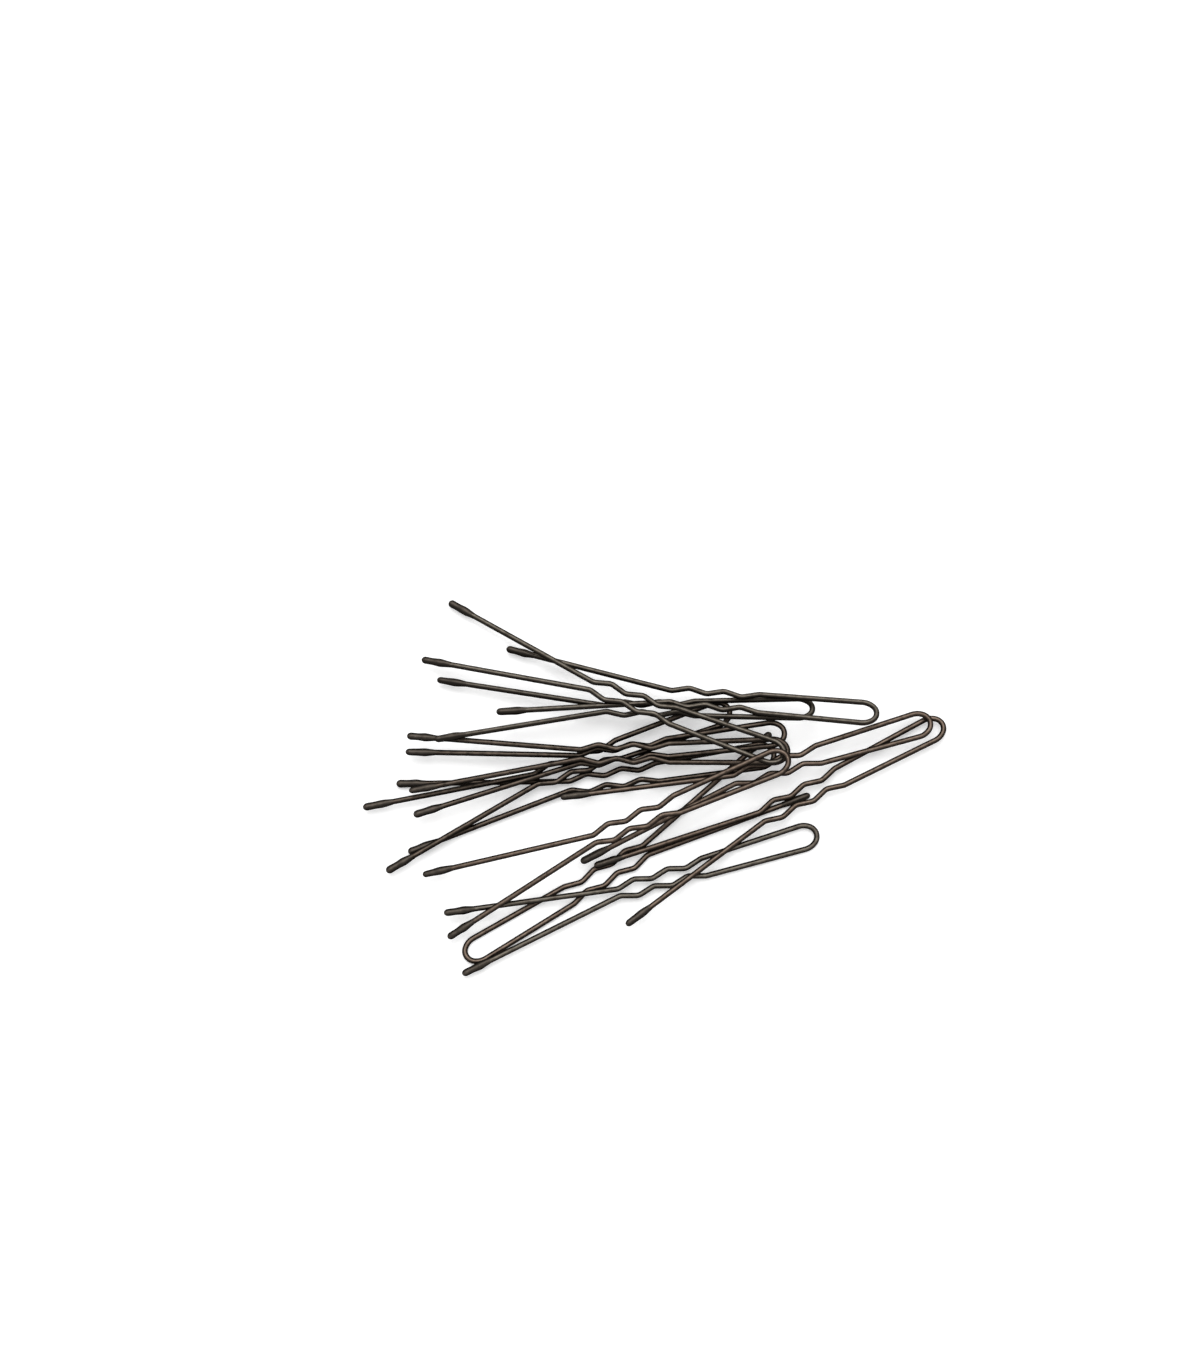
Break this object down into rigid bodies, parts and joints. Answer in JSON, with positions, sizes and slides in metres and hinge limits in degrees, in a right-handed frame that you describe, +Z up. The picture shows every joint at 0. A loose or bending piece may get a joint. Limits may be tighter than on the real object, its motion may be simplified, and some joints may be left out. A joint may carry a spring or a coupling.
{
  "type": "hairpins",
  "caption": "Loose heap of U-shaped crimped wire hairpins with dipped round tips, each leg springing about its crown, for holding a bun or a lock of hair.",
  "frame": {"origin": "bottom centre of the heap's box, on the surface it lies on", "axes": "+X towards the crowns, along the heap's longest side; +Z up"},
  "size_m": [0.0984, 0.0648, 0.0114],
  "materials": {
    "lacquered_wire": "satin",
    "dipped_tip": "satin"
  },
  "bodies": {
    "pin_01": {"pin_01_crown": "lacquered_wire", "pin_01_left_leg": "lacquered_wire", "pin_01_left_tip": "dipped_tip"},
    "pin_01_sprung_leg": {"pin_01_right_leg": "lacquered_wire", "pin_01_right_tip": "dipped_tip"},
    "pin_02": {"pin_02_crown": "lacquered_wire", "pin_02_left_leg": "lacquered_wire", "pin_02_left_tip": "dipped_tip"},
    "pin_02_sprung_leg": {"pin_02_right_leg": "lacquered_wire", "pin_02_right_tip": "dipped_tip"},
    "pin_03": {"pin_03_crown": "lacquered_wire", "pin_03_left_leg": "lacquered_wire", "pin_03_left_tip": "dipped_tip"},
    "pin_03_sprung_leg": {"pin_03_right_leg": "lacquered_wire", "pin_03_right_tip": "dipped_tip"},
    "pin_04": {"pin_04_crown": "lacquered_wire", "pin_04_left_leg": "lacquered_wire", "pin_04_left_tip": "dipped_tip"},
    "pin_04_sprung_leg": {"pin_04_right_leg": "lacquered_wire", "pin_04_right_tip": "dipped_tip"},
    "pin_05": {"pin_05_crown": "lacquered_wire", "pin_05_left_leg": "lacquered_wire", "pin_05_left_tip": "dipped_tip"},
    "pin_05_sprung_leg": {"pin_05_right_leg": "lacquered_wire", "pin_05_right_tip": "dipped_tip"},
    "pin_06": {"pin_06_crown": "lacquered_wire", "pin_06_left_leg": "lacquered_wire", "pin_06_left_tip": "dipped_tip"},
    "pin_06_sprung_leg": {"pin_06_right_leg": "lacquered_wire", "pin_06_right_tip": "dipped_tip"},
    "pin_07": {"pin_07_crown": "lacquered_wire", "pin_07_left_leg": "lacquered_wire", "pin_07_left_tip": "dipped_tip"},
    "pin_07_sprung_leg": {"pin_07_right_leg": "lacquered_wire", "pin_07_right_tip": "dipped_tip"},
    "pin_08": {"pin_08_crown": "lacquered_wire", "pin_08_left_leg": "lacquered_wire", "pin_08_left_tip": "dipped_tip"},
    "pin_08_sprung_leg": {"pin_08_right_leg": "lacquered_wire", "pin_08_right_tip": "dipped_tip"},
    "pin_09": {"pin_09_crown": "lacquered_wire", "pin_09_left_leg": "lacquered_wire", "pin_09_left_tip": "dipped_tip"},
    "pin_09_sprung_leg": {"pin_09_right_leg": "lacquered_wire", "pin_09_right_tip": "dipped_tip"},
    "pin_10": {"pin_10_crown": "lacquered_wire", "pin_10_left_leg": "lacquered_wire", "pin_10_left_tip": "dipped_tip"},
    "pin_10_sprung_leg": {"pin_10_right_leg": "lacquered_wire", "pin_10_right_tip": "dipped_tip"},
    "pin_11": {"pin_11_crown": "lacquered_wire", "pin_11_left_leg": "lacquered_wire", "pin_11_left_tip": "dipped_tip"},
    "pin_11_sprung_leg": {"pin_11_right_leg": "lacquered_wire", "pin_11_right_tip": "dipped_tip"},
    "pin_12": {"pin_12_crown": "lacquered_wire", "pin_12_left_leg": "lacquered_wire", "pin_12_left_tip": "dipped_tip"},
    "pin_12_sprung_leg": {"pin_12_right_leg": "lacquered_wire", "pin_12_right_tip": "dipped_tip"}
  },
  "joints": [
    {"name": "pin_01_spread", "type": "hinge", "parent": "pin_01", "child": "pin_01_sprung_leg", "pos_m": [-0.02843, -0.02926, 0.00049], "axis": [0.0035, 0.002, -1], "range_deg": [-0.2, 3], "stiffness_Nm_per_rad": 0.15},
    {"name": "pin_02_lift", "type": "slide", "parent": "pin_01", "child": "pin_02", "axis": [0, 0, 1], "range_m": [0, 0.015]},
    {"name": "pin_02_spread", "type": "hinge", "parent": "pin_02", "child": "pin_02_sprung_leg", "pos_m": [0.0171, 0.00684, 0.00198], "axis": [0.0208, 0.0039, -0.9998], "range_deg": [-0.2, 3], "stiffness_Nm_per_rad": 0.15},
    {"name": "pin_03_lift", "type": "slide", "parent": "pin_02", "child": "pin_03", "axis": [0, 0, 1], "range_m": [0, 0.015]},
    {"name": "pin_03_spread", "type": "hinge", "parent": "pin_03", "child": "pin_03_sprung_leg", "pos_m": [0.00937, 0.01376, 0.00274], "axis": [0.012, 0.0071, -0.9999], "range_deg": [-0.2, 3], "stiffness_Nm_per_rad": 0.15},
    {"name": "pin_04_lift", "type": "slide", "parent": "pin_03", "child": "pin_04", "axis": [0, 0, 1], "range_m": [0, 0.015]},
    {"name": "pin_04_spread", "type": "hinge", "parent": "pin_04", "child": "pin_04_sprung_leg", "pos_m": [0.02395, -0.00699, 0.00098], "axis": [-0.0591, 0.112, -0.992], "range_deg": [-0.2, 3], "stiffness_Nm_per_rad": 0.15},
    {"name": "pin_05_lift", "type": "slide", "parent": "pin_04", "child": "pin_05", "axis": [0, 0, 1], "range_m": [0, 0.015]},
    {"name": "pin_05_spread", "type": "hinge", "parent": "pin_05", "child": "pin_05_sprung_leg", "pos_m": [0.04539, 0.01117, 0.00145], "axis": [0.03, -0.0853, -0.9959], "range_deg": [-0.2, 3], "stiffness_Nm_per_rad": 0.15},
    {"name": "pin_06_lift", "type": "slide", "parent": "pin_05", "child": "pin_06", "axis": [0, 0, 1], "range_m": [0, 0.015]},
    {"name": "pin_06_spread", "type": "hinge", "parent": "pin_06", "child": "pin_06_sprung_leg", "pos_m": [0.04338, 0.01194, 0.00267], "axis": [-0.0292, 0.0395, -0.9988], "range_deg": [-0.2, 3], "stiffness_Nm_per_rad": 0.15},
    {"name": "pin_07_lift", "type": "slide", "parent": "pin_06", "child": "pin_07", "axis": [0, 0, 1], "range_m": [0, 0.015]},
    {"name": "pin_07_spread", "type": "hinge", "parent": "pin_07", "child": "pin_07_sprung_leg", "pos_m": [0.01884, 0.0102, 0.00386], "axis": [0.012, 0.0073, -0.9999], "range_deg": [-0.2, 3], "stiffness_Nm_per_rad": 0.15},
    {"name": "pin_08_lift", "type": "slide", "parent": "pin_07", "child": "pin_08", "axis": [0, 0, 1], "range_m": [0, 0.015]},
    {"name": "pin_08_spread", "type": "hinge", "parent": "pin_08", "child": "pin_08_sprung_leg", "pos_m": [0.01951, 0.00714, 0.00489], "axis": [0.0043, 0.0715, -0.9974], "range_deg": [-0.2, 3], "stiffness_Nm_per_rad": 0.15},
    {"name": "pin_09_lift", "type": "slide", "parent": "pin_08", "child": "pin_09", "axis": [0, 0, 1], "range_m": [0, 0.015]},
    {"name": "pin_09_spread", "type": "hinge", "parent": "pin_09", "child": "pin_09_sprung_leg", "pos_m": [0.02384, 0.0144, 0.00373], "axis": [0.0039, -0.3875, -0.9219], "range_deg": [-0.2, 3], "stiffness_Nm_per_rad": 0.15},
    {"name": "pin_10_lift", "type": "slide", "parent": "pin_09", "child": "pin_10", "axis": [0, 0, 1], "range_m": [0, 0.015]},
    {"name": "pin_10_spread", "type": "hinge", "parent": "pin_10", "child": "pin_10_sprung_leg", "pos_m": [0.03472, 0.01331, 0.00576], "axis": [0.0153, -0.2973, -0.9546], "range_deg": [-0.2, 3], "stiffness_Nm_per_rad": 0.15},
    {"name": "pin_11_lift", "type": "slide", "parent": "pin_10", "child": "pin_11", "axis": [0, 0, 1], "range_m": [0, 0.015]},
    {"name": "pin_11_spread", "type": "hinge", "parent": "pin_11", "child": "pin_11_sprung_leg", "pos_m": [0.01951, 0.00599, 0.00894], "axis": [0.0524, -0.1866, -0.981], "range_deg": [-0.2, 3], "stiffness_Nm_per_rad": 0.15},
    {"name": "pin_12_lift", "type": "slide", "parent": "pin_11", "child": "pin_12", "axis": [0, 0, 1], "range_m": [0, 0.015]},
    {"name": "pin_12_spread", "type": "hinge", "parent": "pin_12", "child": "pin_12_sprung_leg", "pos_m": [0.01853, 0.00362, 0.01068], "axis": [0.1091, 0.0891, -0.99], "range_deg": [-0.2, 3], "stiffness_Nm_per_rad": 0.15}
  ]
}
